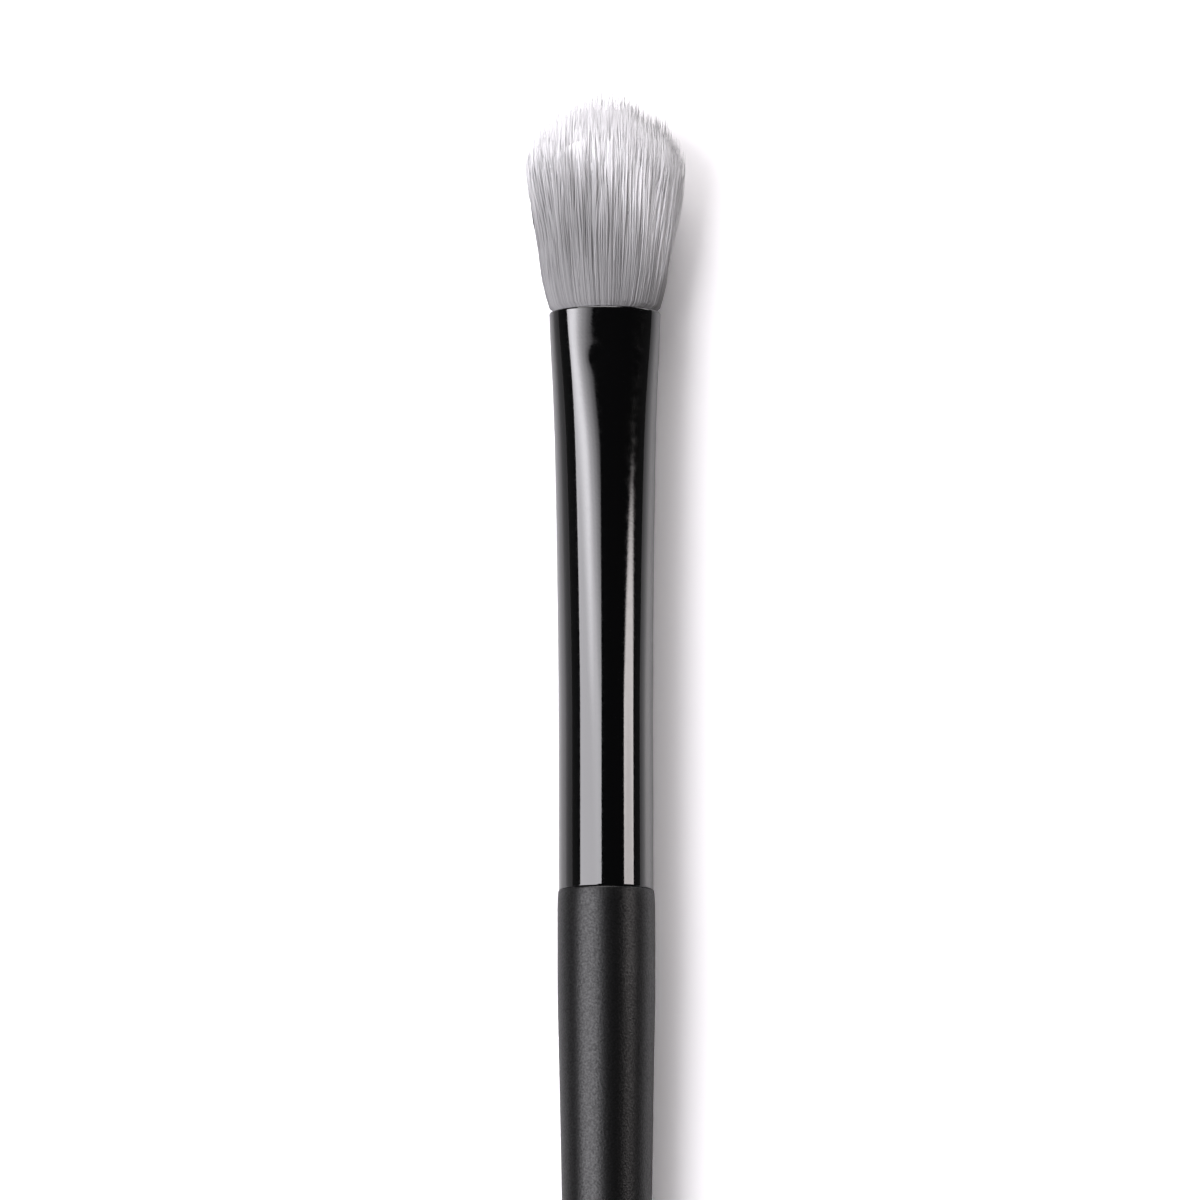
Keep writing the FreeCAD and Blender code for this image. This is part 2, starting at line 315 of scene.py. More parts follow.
def ring_skin(name, points, looped=False):
    """An even skin over rings of points, each round the axis. Its ends are closed unless it is looped."""
    rings, around = points.shape[:2]
    low, side = np.meshgrid(np.arange(rings if looped else rings - 1), np.arange(around), indexing="ij")
    high = (low + 1) % rings
    onward = (side + 1) % around
    corners = (low * around + side, high * around + side, high * around + onward, low * around + onward)
    faces = np.stack(corners, axis=2).reshape(-1, 4).tolist()
    if not looped:
        faces.append(list(range(around)))
        faces.append(list(range(rings * around - 1, (rings - 1) * around - 1, -1)))
    mesh = bpy.data.meshes.new(name)
    mesh.from_pydata(points.reshape(-1, 3).tolist(), [], faces)
    mesh.polygons.foreach_set("use_smooth", np.ones(len(faces), bool))
    return mesh


# The handle

TAIL_RADIUS = 1.7 * MM
SHOULDER_LENGTH = 1.1 * MM
TENON_CHAMFER = 0.4 * MM
EDGE_ROUND = 0.02 * MM

# The tail's first ring lies this far round from its side, and the mesh is closed across it.
TAIL_TURN = math.radians(88)

HANDLE_SIDES = 128
TAIL_RINGS = 20
BODY_RINGS = 400
SHOULDER_RINGS = 11


def handle_rings():
    """The handle's rings from its tail to its tenon's end: places along the axis, and the frame's radii."""
    order = np.argsort(handle_points[:, 0])
    places = handle_points[order, 0]
    radii = np.hypot(handle_points[:, 1], handle_points[:, 2])[order]
    at_joint = radii[np.abs(places - JOINT) < EDGE_ROUND].max()
    neck = np.interp(JOINT + TENON_CHAMFER, places, radii)
    tail_middle = places[0] + TAIL_RADIUS
    turn = np.linspace(TAIL_TURN, 0, TAIL_RINGS, endpoint=False)
    body = np.linspace(tail_middle, JOINT - SHOULDER_LENGTH, BODY_RINGS)
    belly = np.interp(body, places, radii)
    share = np.linspace(0, 1, SHOULDER_RINGS + 2)[1:-1]
    runs = [
        (tail_middle - TAIL_RADIUS * np.sin(turn), TAIL_RADIUS * np.cos(turn)),
        (body, belly),
        (JOINT - SHOULDER_LENGTH * (1 - share), belly[-1] - (belly[-1] - at_joint) * share**2),
        ((JOINT - EDGE_ROUND, JOINT, JOINT), (at_joint, at_joint - EDGE_ROUND, at_joint - 2 * EDGE_ROUND)),
        ((JOINT, JOINT, places[-1] - TENON_CHAMFER, places[-1]), (neck + EDGE_ROUND, neck, neck, radii[-1])),
    ]
    return [np.concatenate(values) for values in zip(*runs)]


def handle_mesh():
    """The turned handle, in even rings, so that its sheen runs as true as on the solid."""
    places, radii = handle_rings()
    turn = round_turn(HANDLE_SIDES)
    across = radii[:, None] * np.cos(turn)
    up = radii[:, None] * np.sin(turn)
    return ring_skin("handle_turned", points_at(AXIS_POINT, places[:, None], across, up))


add_piece(handle_mesh(), satin_black_lacquer(), "handle")


# The ferrule

# The tube, in the part's own sizes: round at the joint, and pressed oval from the flare's end to the mouth.
TUBE_RADIUS = 2.92 * MM
WALL = 0.35 * MM
RIM_ROUND = 0.12 * MM
MOUTH_HALF = np.array((3.5, 2.29)) * MM
FLARE_LENGTH = 26.0 * MM
FLARE_PLACE_SHARES = (-0.1, 0, 0.058, 0.115, 0.21, 0.3, 0.45, 0.69, 0.87, 0.95, 1)
FLATTENING_SHARES = (1.1, 1, 0.92, 0.77, 0.57, 0.43, 0.29, 0.125, 0.035, 0.007, 0)

# The bends at the flare's places are smoothed over this reach on either side, from so many samples.
FLARE_SMOOTHING = 2.5 * MM
SMOOTHING_SAMPLES = 41

# The dent on the near side: how far from the mouth and across its middle lies, its reaches, and its depth.
DENT_FROM_MOUTH = 2.95 * MM
DENT_ACROSS = -0.2 * MM
DENT_REACH_ALONG = 0.5 * MM
DENT_REACH_ACROSS = 0.42 * MM
DENT_DEPTH = 0.05 * MM

# The rings are finer over the dent's stretch, next to the mouth. One more ring this close to a rim's rounding
# keeps the smooth shading of the long sides even.
FERRULE_SIDES = 192
DENT_STRETCH = 8 * MM
DENT_RINGS = 80
LONG_RINGS = 110
INSIDE_RINGS = 60
RIM_RINGS = 6
RIM_GAP = 0.02 * MM


def flattening(from_mouth):
    """How much of the mouth's flattening the tube keeps at these distances from the mouth."""
    offsets = np.linspace(-1, 1, SMOOTHING_SAMPLES)
    weights = 1 - np.abs(offsets)
    places = (from_mouth[:, None] + FLARE_SMOOTHING * offsets) / FLARE_LENGTH
    share = np.interp(places, FLARE_PLACE_SHARES, FLATTENING_SHARES)
    return (share * weights).sum(axis=1) / weights.sum()


def ferrule_rings():
    """The tube's rings in order round its wall, as distances from the mouth and insets from the outside."""
    length = MOUTH - JOINT
    rim = np.linspace(0, math.pi / 2, RIM_RINGS)
    outside_corner = RIM_ROUND * (1 - np.sin(rim)), RIM_ROUND * (1 - np.cos(rim))
    inside_corner = outside_corner[0][::-1], WALL - outside_corner[1][::-1]
    long_run = np.linspace(length - RIM_ROUND, DENT_STRETCH, LONG_RINGS, endpoint=False)
    long_run[0] -= RIM_GAP
    dent_run = np.linspace(DENT_STRETCH, RIM_ROUND, DENT_RINGS, endpoint=False)
    dent_run = np.append(dent_run, RIM_ROUND + RIM_GAP)
    inside = np.linspace(RIM_ROUND, length - RIM_ROUND, INSIDE_RINGS)[1:-1]
    runs = [
        (long_run, np.zeros(len(long_run))),
        (dent_run, np.zeros(len(dent_run))),
        outside_corner,
        inside_corner,
        (inside, np.full(len(inside), WALL)),
        (length - inside_corner[0][::-1], inside_corner[1][::-1]),
        (length - outside_corner[0][::-1], outside_corner[1][::-1]),
    ]
    return [np.concatenate(values) for values in zip(*runs)]


def ferrule_mesh():
    """The ferrule as one closed tube of even rings."""
    from_mouth, inset = ferrule_rings()
    kept = flattening(from_mouth)[:, None]
    half = TUBE_RADIUS + kept * (MOUTH_HALF - TUBE_RADIUS) - inset[:, None]
    turn = round_turn(FERRULE_SIDES)
    sides = half[:, None, :] * np.stack([np.cos(turn), np.sin(turn)], axis=1)

    # The dent pushes the near side in, and fades out through the wall.
    reach = ((from_mouth - DENT_FROM_MOUTH)[:, None] / DENT_REACH_ALONG) ** 2
    reach = reach + ((sides[:, :, 0] - DENT_ACROSS) / DENT_REACH_ACROSS) ** 2
    push = DENT_DEPTH * np.exp(-reach / 2) * (sides[:, :, 1] > 0) * (1 - inset / WALL)[:, None]
    sides[:, :, 1] -= push

    points = points_at(place(MOUTH), -from_mouth[:, None], sides[:, :, 0], sides[:, :, 1])
    return ring_skin("ferrule_tube", points, looped=True)


add_piece(ferrule_mesh(), gloss_black_enamel(), "ferrule")


# The tuft

# A fibre: three-sided, each a little thicker or thinner than the rest, turned a little, in radians, and
# tapered to its tip. It has stations at its root and round the ferrule's rim. The others rise evenly to the
# tip, and the first of them lies at this share of the tip's height.
FIBRES = 10600
FIBRE_SIDES = 3
FIBRE_RADIUS = 0.04 * MM
THICKNESS_SHARES = (0.8, 1.15)
FIBRE_TURN = 0.2
TIP_RADIUS_SHARE = 0.1
TAPER_LENGTH = 4.2 * MM
TAPER_POWER = 0.6
RIM_STATIONS = (-0.5 * MM, 0.05 * MM, 0.35 * MM)
FIRST_RISING_SHARE = 0.12
RISING_STATIONS = 8

# How the fibres lie over the tuft's section: how far out, how shaken, and how crowded towards the rim.
FIBRE_REACH_SHARE = 0.98
FIBRE_JITTER_SHARE = 0.35
FIBRE_CROWDING = 0.36

# How far the fibres' tips and the dye's edge scatter, and by how much the fibres fall short of the dome on
# average.
TIP_SCATTER = 0.5 * MM
DYE_SCATTER = 0.6 * MM
TIP_SHORTFALL = 1.2 * MM

# The fibres come in so many tones and lengths of white tip, so that the bake map holds a column for each
# kind. A column is as high as the longest fibre, whose tip may lie a tenth beyond the tuft's length. It has a
# margin on either side, and the corners of a fibre's end caps are lifted apart in it.
TONES = 8
WHITE_LENGTHS = 8
SHORTEST_WHITE = 1.0 * MM
LONGEST_WHITE = 7.0 * MM
LONGEST_FIBRE = ROOT_LENGTH + 1.1 * TUFT_LENGTH
COLUMN_MARGIN_SHARE = 0.1
CAP_LIFT_SHARE = 0.01

# How far the fibres' shading leans towards the bundle's own, low down and at the tips, as light that passes
# between fibres softens it. Then how much of the bundle's own shading is sideways, and how far ahead it faces
# at its domed end.
SHADING_PLACE_SHARES = (0.35, 0.75)
SHADING_SHARES = (0.5, 0.9)
SIDEWAYS_SHARE = 0.3
AHEAD_SHARE = 0.9
AHEAD_PLACE_SHARES = (0.55, 1.0)

# The bundle bulges over the ferrule's rim. Its near and far sides bend in over the top, as the solid's do.
RIM_BULGE = 0.3 * MM
BULGE_RISE = 0.35 * MM
BULGE_END = 5 * MM
TOP_BEND_SHARE = 0.4
TOP_BEND_PLACE_SHARES = (0.6, 1.0)

# Strands, from fine to broad: how many, how far they draw their fibres in, and how far they sway sideways.
STRAND_SIZES = ((2600, 0.15, 0.05 * MM), (600, 0.22, 0.08 * MM), (150, 0.08, 0.06 * MM))
STRAND_JITTER_SHARE = 0.5
STRAND_CROWDING = 0.4
STRAND_DYE_SCATTER = 0.3 * MM
SHORTEST_SWAY = 7 * MM
LONGEST_SWAY = 18 * MM
SWAY_RISE = (0.5 * MM, 7 * MM)

# Where above the mouth the strands draw their fibres in, how strongly each fibre follows, and where and how
# far the tips part again.
DRAWING_RISE = (1.0 * MM, 6.0 * MM)
FOLLOWING_SHARES = (0.4, 1.0)
PARTING_PLACE_SHARES = (0.4, 0.8)
PARTING_SHARE = 0.85

# How far single fibres stray and sway by themselves.
STRAY = 0.13 * MM
STRAY_START = 0.3 * MM
FIBRE_SWAY = 0.03 * MM

# The packed middle of the tuft: its share of the section, how far its end lies below the fibres' tips, where
# it starts inside the mouth, how its sides ripple, its streaks' tones, and its mesh's sides and rings.
CORE_SHARE = 0.95
CORE_DEPTH = 2.5 * MM
CORE_START = -0.3 * MM
CORE_RIPPLE_SHARE = 0.004
CORE_TONES = (0, 0.9)
CORE_SIDES = 384
CORE_SIDE_RINGS = 24
CORE_END_RINGS = 8

# How far the tuft has splayed along its length, and where its domed end lies from the middle outwards, where
# depth counts for less than width.
SPLAY_PLACE_SHARES = (0, 0.14, 0.25, 0.36, 0.48, 0.6, 0.66, 1.1)
SPLAY_SHARES = (0, 0.33, 0.51, 0.66, 0.8, 0.94, 1, 1)
DOME_PLACE_SHARES = (1.02, 1, 0.965, 0.9, 0.83, 0.755, 0.67)
DOME_REACH_SHARES = (0, 0.2, 0.38, 0.62, 0.81, 0.94, 1)
DOME_DEPTH_SHARE = 0.5

# The near side is shorter on the right: by how much, and over which stretch of the section's width and depth.
NEAR_RIGHT_SHORTFALL = 2.6 * MM
NEAR_RIGHT_ACROSS_SHARES = (-0.2, 1.0)
NEAR_RIGHT_DEPTH_SHARES = (-0.1, 0.9)

# The dye's edge lies lower on the right: its height from the mouth, from left to right.
DYE_PLACE_SHARES = (-1, -0.35, -0.1, 0.15, 0.45, 0.7, 1)
DYE_HEIGHT_SHARES = (0.72, 0.69, 0.6, 0.51, 0.44, 0.32, 0.18)

random = np.random.default_rng(7)

mouth_half = half_section(tuft_points, MOUTH)
root_half = half_section(tuft_points, MOUTH - ROOT_LENGTH)
widest_half = np.abs(tuft_points[:, 1:]).max(axis=0)


def sunflower(count, jitter, crowding):
    """Points over a disc of radius 1, each shaken by a share of their spacing.

    They lie evenly with a crowding of 0.5, and closer towards the rim with less.
    """
    step = np.arange(count)
    reach = ((step + 0.5) / count) ** crowding
    turn = step * math.pi * (3 - math.sqrt(5))
    points = np.stack([reach * np.cos(turn), reach * np.sin(turn)], axis=1)
    points += random.normal(0, jitter / math.sqrt(count), points.shape)
    size = np.linalg.norm(points, axis=1, keepdims=True)
    return points / np.maximum(size, 1)


def smooth(value, low, high):
    """0 below low, 1 above high, and a smooth rise between them."""
    share = np.clip((value - low) / (high - low), 0, 1)
    return share * share * (3 - 2 * share)


def unit(vectors):
    """Vectors of length 1 in the same directions."""
    return vectors / np.linalg.norm(vectors, axis=-1, keepdims=True)


def dome_height(spot):
    """How far from the mouth the fibres of a spot of the section end."""
    across, depth = spot[..., 0], spot[..., 1]
    reach = np.sqrt(across**2 + (DOME_DEPTH_SHARE * depth) ** 2)
    height = TUFT_LENGTH * np.interp(reach, DOME_REACH_SHARES, DOME_PLACE_SHARES)
    to_right = smooth(across, *NEAR_RIGHT_ACROSS_SHARES)
    return height - NEAR_RIGHT_SHORTFALL * to_right * smooth(depth, *NEAR_RIGHT_DEPTH_SHARES)


def dye_height(spot):
    """How far from the mouth the dye ends at a spot of the section."""
    return TUFT_LENGTH * np.interp(spot[..., 0], DYE_PLACE_SHARES, DYE_HEIGHT_SHARES)


def spread(spot, stations):
    """Where spots of the section, as shares of its half width and depth, lie this far from the mouth."""
    share = stations / TUFT_LENGTH
    splay = np.interp(share, SPLAY_PLACE_SHARES, SPLAY_SHARES)
    rooted = np.clip(-stations / ROOT_LENGTH, 0, 1)
    bulge = RIM_BULGE * smooth(stations, 0, BULGE_RISE) * (1 - smooth(stations, BULGE_RISE, BULGE_END))
    half = (
        mouth_half
        + bulge[..., None]
        + splay[..., None] * (widest_half - mouth_half)
        + rooted[..., None] * (root_half - mouth_half)
    )
    sides = spot * half
    sides[..., 1] *= 1 - TOP_BEND_SHARE * smooth(share, *TOP_BEND_PLACE_SHARES)
    return sides


def swaying(sway, count, stations, member):
    """How far the members of this many strands lie to the side at their stations, in slow waves."""
    length = random.uniform(SHORTEST_SWAY, LONGEST_SWAY, (count, 1, 2))[member]
    phase = random.uniform(0, 2 * math.pi, (count, 1, 2))[member]
    return sway * np.sin(phase + 2 * math.pi * stations[:, :, None] / length)


def fibre_stations(tip):
    """Each fibre's stations from its root to its tip, as distances from the mouth."""
    low = np.array((-ROOT_LENGTH, *RIM_STATIONS))
    rising = np.linspace(FIRST_RISING_SHARE, 1, RISING_STATIONS)
    return np.concatenate([np.broadcast_to(low, (FIBRES, len(low))), rising * tip[:, None]], axis=1)


def fibre_lines():
    """The fibres' centre lines, as distances from the mouth and places across and up, with tips and dye."""
    spot = FIBRE_REACH_SHARE * sunflower(FIBRES, FIBRE_JITTER_SHARE, FIBRE_CROWDING)
    tip = dome_height(spot) + random.normal(0, TIP_SCATTER, FIBRES)
    tip -= random.exponential(TIP_SHORTFALL, FIBRES)
    dye = dye_height(spot) + random.normal(0, DYE_SCATTER, FIBRES)
    stations = fibre_stations(tip)

    # Fibres draw together into strands above the mouth, fine ones into broad ones, and their tips part again.
    spots = np.repeat(spot[:, None], stations.shape[1], axis=1)
    drift = np.zeros_like(spots)
    swung = smooth(stations, *SWAY_RISE)[:, :, None]
    drawing = smooth(stations, *DRAWING_RISE)
    together = 1 - PARTING_SHARE * smooth(stations / TUFT_LENGTH, *PARTING_PLACE_SHARES)
    for count, pull, sway in STRAND_SIZES:
        strands = sunflower(count, STRAND_JITTER_SHARE, STRAND_CROWDING)
        nearest = np.argmin(((spot[:, None] - strands[None]) ** 2).sum(axis=2), axis=1)
        drawn = (pull * drawing * together)[:, :, None] * random.uniform(*FOLLOWING_SHARES, (FIBRES, 1, 1))
        spots = spots * (1 - drawn) + strands[nearest][:, None] * drawn
        drift += swung * swaying(sway, count, stations, nearest)
        dye += random.normal(0, STRAND_DYE_SCATTER, count)[nearest]

    # Single fibres stray a little as they rise.
    strayed = smooth(stations, STRAY_START, TUFT_LENGTH)[:, :, None]
    drift += strayed * random.normal(0, STRAY, (FIBRES, 1, 2))
    drift += swung * swaying(FIBRE_SWAY, FIBRES, stations, np.arange(FIBRES))
    return stations, spread(spots, stations) + drift, tip, dye


def in_frame(stations, sides):
    """Centre lines as points of the frame, with none below the surface that the brush lies on."""
    points = points_at(place(MOUTH), stations, sides[:, :, 0], sides[:, :, 1])
    lowest = FIBRE_RADIUS * (1 + random.exponential(1.0, (len(points), 1)))
    points[:, :, 2] = np.maximum(points[:, :, 2], lowest)
    return points


def bundle_outward(points, stations):
    """Which way the bundle itself faces at points of its fibres: outwards, and ahead too at its domed end."""
    beside = points - np.array(place(MOUTH))
    weights = widest_half / (SIDEWAYS_SHARE**0.5, 1)
    outward = unit(
        sum(
            (beside @ np.array(way) / weight**2)[..., None] * np.array(way)
            for way, weight in zip((ACROSS, UP), weights)
        )
    )
    ahead = AHEAD_SHARE * smooth(stations / TUFT_LENGTH, *AHEAD_PLACE_SHARES)
    return unit(outward + ahead[..., None] * np.array(ALONG))


def fibre_rings(points, stations, from_tip):
    """The fibres' rings of points, and the normals there, which lean towards the bundle's own."""
    count = len(points)
    tangent = unit(np.gradient(points, axis=1))
    first = unit(np.cross(tangent, np.array(UP)))
    second = np.cross(tangent, first)
    first, second = first[:, :, None], second[:, :, None]

    radius = FIBRE_RADIUS * random.uniform(*THICKNESS_SHARES, (count, 1))
    narrowing = np.clip(from_tip / TAPER_LENGTH, 0, 1) ** TAPER_POWER
    radius = (radius * (TIP_RADIUS_SHARE + (1 - TIP_RADIUS_SHARE) * narrowing))[:, :, None]
    turned = math.pi / 2 + random.normal(0, FIBRE_TURN, (count, 1, 1))
    turn = turned + round_turn(FIBRE_SIDES)
    rings = (
        points[:, :, None]
        + (radius * np.cos(turn))[..., None] * first
        + (radius * np.sin(turn))[..., None] * second
    )

    own = np.cos(turn)[..., None] * first + np.sin(turn)[..., None] * second
    softened = np.interp(stations / TUFT_LENGTH, SHADING_PLACE_SHARES, SHADING_SHARES)[:, :, None, None]
    normals = unit((1 - softened) * own + softened * bundle_outward(points, stations)[:, :, None])
    return rings, normals


def fibre_faces(count, rings):
    """All faces' corners in one row, and each face's count: quads between rings, then both ends' caps."""
    start = (np.arange(count) * rings * FIBRE_SIDES)[:, None, None]
    level = (np.arange(rings - 1) * FIBRE_SIDES)[None, :, None]
    side = np.arange(FIBRE_SIDES)
    onward = (side + 1) % FIBRE_SIDES
    low = start + level
    high = low + FIBRE_SIDES
    quads = np.stack([low + side, low + onward, high + onward, high + side], axis=3)
    root_caps = start[:, 0] + side[::-1]
    tip_caps = start[:, 0] + (rings - 1) * FIBRE_SIDES + side
    corners = np.concatenate([quads.ravel(), root_caps.ravel(), tip_caps.ravel()])
    sizes = np.concatenate([np.full(quads.size // 4, 4), np.full(2 * count, FIBRE_SIDES)])
    return corners, sizes


def fibre_bake_places(from_tip, tone, white_length):
    """Where each face corner lies in the bake map.

    Each kind of fibre, by tone and white length, has a column, and a point's height in it is its distance
    from the tip.
    """
    count, rings = from_tip.shape
    step = (LONGEST_WHITE - SHORTEST_WHITE) / (WHITE_LENGTHS - 1)
    column = np.rint(tone * (TONES - 1)) * WHITE_LENGTHS + np.rint((white_length - SHORTEST_WHITE) / step)
    height = 1 - np.clip(from_tip / LONGEST_FIBRE, 0, 1)

    corner = np.array([0, 1, 1, 0]) + np.arange(FIBRE_SIDES)[:, None]
    room = 1 - 2 * COLUMN_MARGIN_SHARE
    across = column[:, None, None, None] + COLUMN_MARGIN_SHARE + room * corner / FIBRE_SIDES
    across = np.broadcast_to(across / (TONES * WHITE_LENGTHS), (count, rings - 1, FIBRE_SIDES, 4))
    upward = np.stack([height[:, :-1], height[:, :-1], height[:, 1:], height[:, 1:]], axis=2)
    upward = np.broadcast_to(upward[:, :, None], across.shape)

    cap_share = np.linspace(COLUMN_MARGIN_SHARE, 1 - COLUMN_MARGIN_SHARE, FIBRE_SIDES)
    cap_across = (column[:, None] + cap_share) / (TONES * WHITE_LENGTHS)
    cap_lift = CAP_LIFT_SHARE * np.sin(np.linspace(0, math.pi, FIBRE_SIDES))
    root_up = height[:, :1] + cap_lift
    tip_up = height[:, -1:] - cap_lift
    u = np.concatenate([across.ravel(), cap_across.ravel(), cap_across.ravel()])
    v = np.concatenate([upward.ravel(), root_up.ravel(), tip_up.ravel()])
    return np.stack([u, v], axis=1)


def set_fibre_values(mesh, **values):
    """Give each point of a mesh the values that the fibres' material reads."""
    for label, value in values.items():
        attribute = mesh.attributes.new(label, "FLOAT", "POINT")
        attribute.data.foreach_set("value", np.ravel(value).astype(np.float32))


def set_bake_map(mesh, places):
    """Lay the mesh's face corners out in its bake map, at these places from 0 to 1."""
    layer = mesh.uv_layers.new(name="OFBake")
    layer.data.foreach_set("uv", places.astype(np.float32).ravel())


def fibre_mesh(name, points, stations, tips, tone, white_length):
    """One mesh of tapered fibres, closed at both ends, with its attributes and bake map."""
    from_tip = tips[:, None] - stations
    rings, normals = fibre_rings(points, stations, from_tip)
    corners, sizes = fibre_faces(*from_tip.shape)
    starts = np.concatenate([[0], np.cumsum(sizes)[:-1]])

    mesh = bpy.data.meshes.new(name)
    mesh.vertices.add(rings.size // 3)
    mesh.vertices.foreach_set("co", rings.ravel())
    mesh.loops.add(len(corners))
    mesh.loops.foreach_set("vertex_index", corners.astype(np.int32))
    mesh.polygons.add(len(sizes))
    mesh.polygons.foreach_set("loop_start", starts.astype(np.int32))
    mesh.polygons.foreach_set("use_smooth", np.ones(len(sizes), bool))
    mesh.update(calc_edges=True)
    mesh.normals_split_custom_set_from_vertices(normals.reshape(-1, 3).tolist())

    set_fibre_values(
        mesh,
        below_dye_edge=np.repeat(from_tip - white_length[:, None], FIBRE_SIDES),
        tone=np.repeat(tone, from_tip.shape[1] * FIBRE_SIDES),
    )
    set_bake_map(mesh, fibre_bake_places(from_tip, tone, white_length))
    return mesh


def core_mesh():
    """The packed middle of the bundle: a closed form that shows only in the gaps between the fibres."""
    turn = round_turn(CORE_SIDES)
    rim = CORE_SHARE * np.stack([np.cos(turn), np.sin(turn)], axis=1)
    rim *= 1 + random.normal(0, CORE_RIPPLE_SHARE, (CORE_SIDES, 1))
    rows = []
    for share in np.linspace(0, 1, CORE_SIDE_RINGS):
        rows.append((rim, CORE_START + share * (dome_height(rim) - CORE_DEPTH - CORE_START)))
    for share in np.linspace(1, 0, CORE_END_RINGS, endpoint=False)[1:]:
        rows.append((rim * share, dome_height(rim * share) - CORE_DEPTH))
    spot = np.array([row[0] for row in rows])
    stations = np.array([row[1] for row in rows])
    mesh = ring_skin("bristle_core", in_frame(stations, spread(spot, stations)))

    streaks = np.broadcast_to(random.uniform(*CORE_TONES, CORE_SIDES), stations.shape)
    set_fibre_values(mesh, below_dye_edge=dye_height(spot) - stations, tone=streaks)
    map_across = np.broadcast_to(np.arange(CORE_SIDES) / CORE_SIDES, stations.shape)
    map_place = np.stack([map_across, stations / TUFT_LENGTH], axis=2).reshape(-1, 2)
    index = np.zeros(len(mesh.loops), np.int32)
    mesh.loops.foreach_get("vertex_index", index)
    set_bake_map(mesh, np.clip(map_place[index], 0, 1))
    return mesh


def white_lengths(tips, dye):
    """How long each fibre's white tip is, in even steps between the shortest and the longest."""
    room = LONGEST_WHITE - SHORTEST_WHITE
    share = (np.clip(tips - dye, SHORTEST_WHITE, LONGEST_WHITE) - SHORTEST_WHITE) / room
    share = np.rint(share * (WHITE_LENGTHS - 1)) / (WHITE_LENGTHS - 1)
    return SHORTEST_WHITE + share * room


def make_tuft():
    """The tuft: its packed middle, and the fibres around and over it in four parts."""
    stations, sides, tips, dye = fibre_lines()
    points = in_frame(stations, sides)
    tone = random.integers(0, TONES, FIBRES) / (TONES - 1)
    values = (points, stations, tips, tone, white_lengths(tips, dye))
    above_rim = sides[:, len(RIM_STATIONS)]
    right = above_rim[:, 0] > 0
    upper = above_rim[:, 1] > 0
    parts = {
        "bristle_fibres_upper_left": upper & ~right,
        "bristle_fibres_upper_right": upper & right,
        "bristle_fibres_lower_left": ~upper & ~right,
        "bristle_fibres_lower_right": ~upper & right,
    }
    material = bristle_fibre()
    meshes = [core_mesh()]
    for name, chosen in parts.items():
        meshes.append(fibre_mesh(name, *(value[chosen] for value in values)))
    for mesh in meshes:
        add_piece(mesh, material, "bristle_tuft")


make_tuft()


# The stage

FLOOR_SIZE = 3.0
WHITE = (1, 1, 1, 1)

# The floor's colours: as light meets it, as gloss mirrors it from the far left to the brush, and as seen. The
# mirrored colours are painted shade: darker to the far left, as if the light on the floor fell off there.
PALE_FLOOR = (0.9, 0.9, 0.9)
MIRRORED_FLOOR_PAINTED_SHADE = (0.4, 0.88)
MIRRORED_SHADE_REACH = (-20 * MM, 12 * MM)
CAMERA_FLOOR = (1.52, 1.51, 1.52, 1)

# Beyond the nearer of these distances from the brush's middle, the camera's floor turns into plain white.
PLAIN_FLOOR = (0.2, 0.4)

# The room's levels at the horizon and high up, and the heights that they hold at, as shares of straight up.
ROOM_LEVELS = (0.06, 0.015)
ROOM_HEIGHT_SHARES = (0.0, 0.5)


def make_floor():
    """A plain pale surface that keeps the object's shadow.

    The camera sees it white. Gloss sees it pale, and greyer on the far left as painted shade, as if its light
    fell off there, as the photograph's enamel does.
    """
    half = FLOOR_SIZE / 2
    mesh = bpy.data.meshes.new("floor")
    corners = [(-half, -half, 0), (half, -half, 0), (half, half, 0), (-half, half, 0)]
    mesh.from_pydata(corners, [], [(0, 1, 2, 3)])
    floor = bpy.data.objects.new("floor", mesh)
    bpy.context.scene.collection.objects.link(floor)
    material, tree, shader = new_material("white_surface", Roughness=0.2)
    mesh.materials.append(material)

    path = node(tree, "ShaderNodeLightPath")
    across = node(tree, "ShaderNodeSeparateXYZ", [(0, own_place(tree))]).outputs["X"]
    # Painted shade: gloss sees the floor greyer towards the far left, as if its light fell off there.
    mirrored_painted_shade = ranged(tree, across, *MIRRORED_FLOOR_PAINTED_SHADE, *MIRRORED_SHADE_REACH, smooth_ends=True)
    shade = mixed_colour(tree, path.outputs["Is Glossy Ray"], PALE_FLOOR, mirrored_painted_shade)
    tree.links.new(shade, shader.inputs["Base Color"])

    near = node(tree, "ShaderNodeBsdfDiffuse", Color=CAMERA_FLOOR)
    far = node(tree, "ShaderNodeEmission", Color=WHITE, Strength=1.0)
    distance = node(tree, "ShaderNodeVectorMath", [(0, own_place(tree))], operation="LENGTH").outputs["Value"]
    plain = ranged(tree, distance, 0, 1, *PLAIN_FLOOR, smooth_ends=True)
    white = mixed_shader(tree, plain, near, far)
    seen = mixed_shader(tree, path.outputs["Is Camera Ray"], shader, white)
    tree.links.new(seen.outputs[0], tree.nodes["Material Output"].inputs["Surface"])


